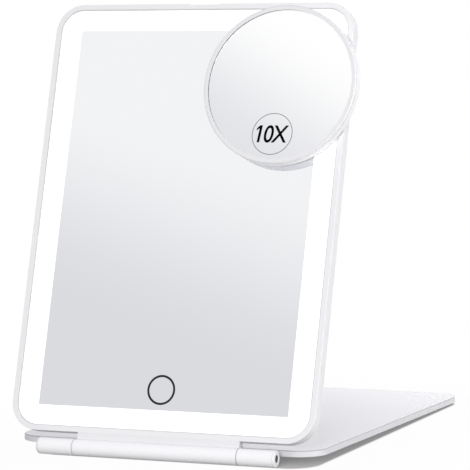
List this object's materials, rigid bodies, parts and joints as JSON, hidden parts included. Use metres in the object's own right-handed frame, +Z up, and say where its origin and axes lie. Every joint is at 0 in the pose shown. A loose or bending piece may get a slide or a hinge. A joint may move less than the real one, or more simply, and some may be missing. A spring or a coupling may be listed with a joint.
{
  "type": "lighted travel makeup mirror",
  "caption": "Folding lighted makeup mirror: thin framed mirror with an opal light band, a barrel hinge, a lid that opens into the stand and a detachable round magnifier.",
  "frame": {"origin": "table height, under the middle of the whole object's box, with the mirror stood open as in the picture", "axes": "+Z up, -Y the way the mirror faces, +X to the right as seen from the front"},
  "size_m": [0.1772, 0.2418, 0.2312],
  "materials": {
    "white_shell": "satin white moulding",
    "hinge_white": "smooth white paint",
    "opal_light": "opal, lit from behind",
    "mirror_silver": "silvered",
    "tray_white": "plain moulding",
    "circuit": "white solder mask",
    "lamp": "phosphor",
    "contact": "plain",
    "cell_foil": "foil pouch",
    "steel": "plain",
    "magnet": "nickel plated",
    "washer": "plain",
    "foot_rubber": "soft",
    "gasket_grey": "soft"
  },
  "bodies": {
    "stand": {"lid_outer_shell": "white_shell", "lid_inner_panel": "white_shell", "hinge_knuckle_left": "hinge_white", "hinge_knuckle_right": "hinge_white", "hinge_pin_left": "steel", "hinge_pin_right": "steel", "hinge_end_plug_left": "white_shell", "hinge_end_plug_right": "white_shell", "thrust_washers": "washer", "rubber_feet": "foot_rubber", "keeper_plates": "steel", "lid_screws": "steel"},
    "panel": {"battery_cell": "cell_foil", "charge_board": "circuit", "closure_magnets": "magnet", "control_board": "circuit", "dock_plate": "steel", "friction_bush_left": "contact", "friction_bush_right": "contact", "front_bezel": "white_shell", "leaf_screws": "steel", "led_chips": "lamp", "led_strip_bottom": "circuit", "led_strip_left": "circuit", "led_strip_right": "circuit", "led_strip_top": "circuit", "light_diffuser": "opal_light", "light_seal": "gasket_grey", "mirror_glass": "mirror_silver", "mirror_tray": "tray_white", "panel_hinge_leaf": "hinge_white", "rear_shell": "white_shell", "touch_electrode": "contact", "usb_socket": "steel"},
    "magnifier": {"magnifier_housing": "white_shell", "magnifier_bezel": "white_shell", "magnifier_gasket": "gasket_grey", "magnifier_mirror": "mirror_silver", "magnifier_magnet": "magnet", "magnifier_pad": "foot_rubber"}
  },
  "joints": [
    {"name": "panel_tilt", "type": "hinge", "parent": "stand", "child": "panel", "pos_m": [-0.00355, -0.11648, 0.0044], "axis": [1, 0, 0], "range_deg": [-11, 283]},
    {"name": "magnifier_off", "type": "slide", "parent": "panel", "child": "magnifier", "axis": [1, 0, 0], "range_m": [0, 0.097]}
  ]
}
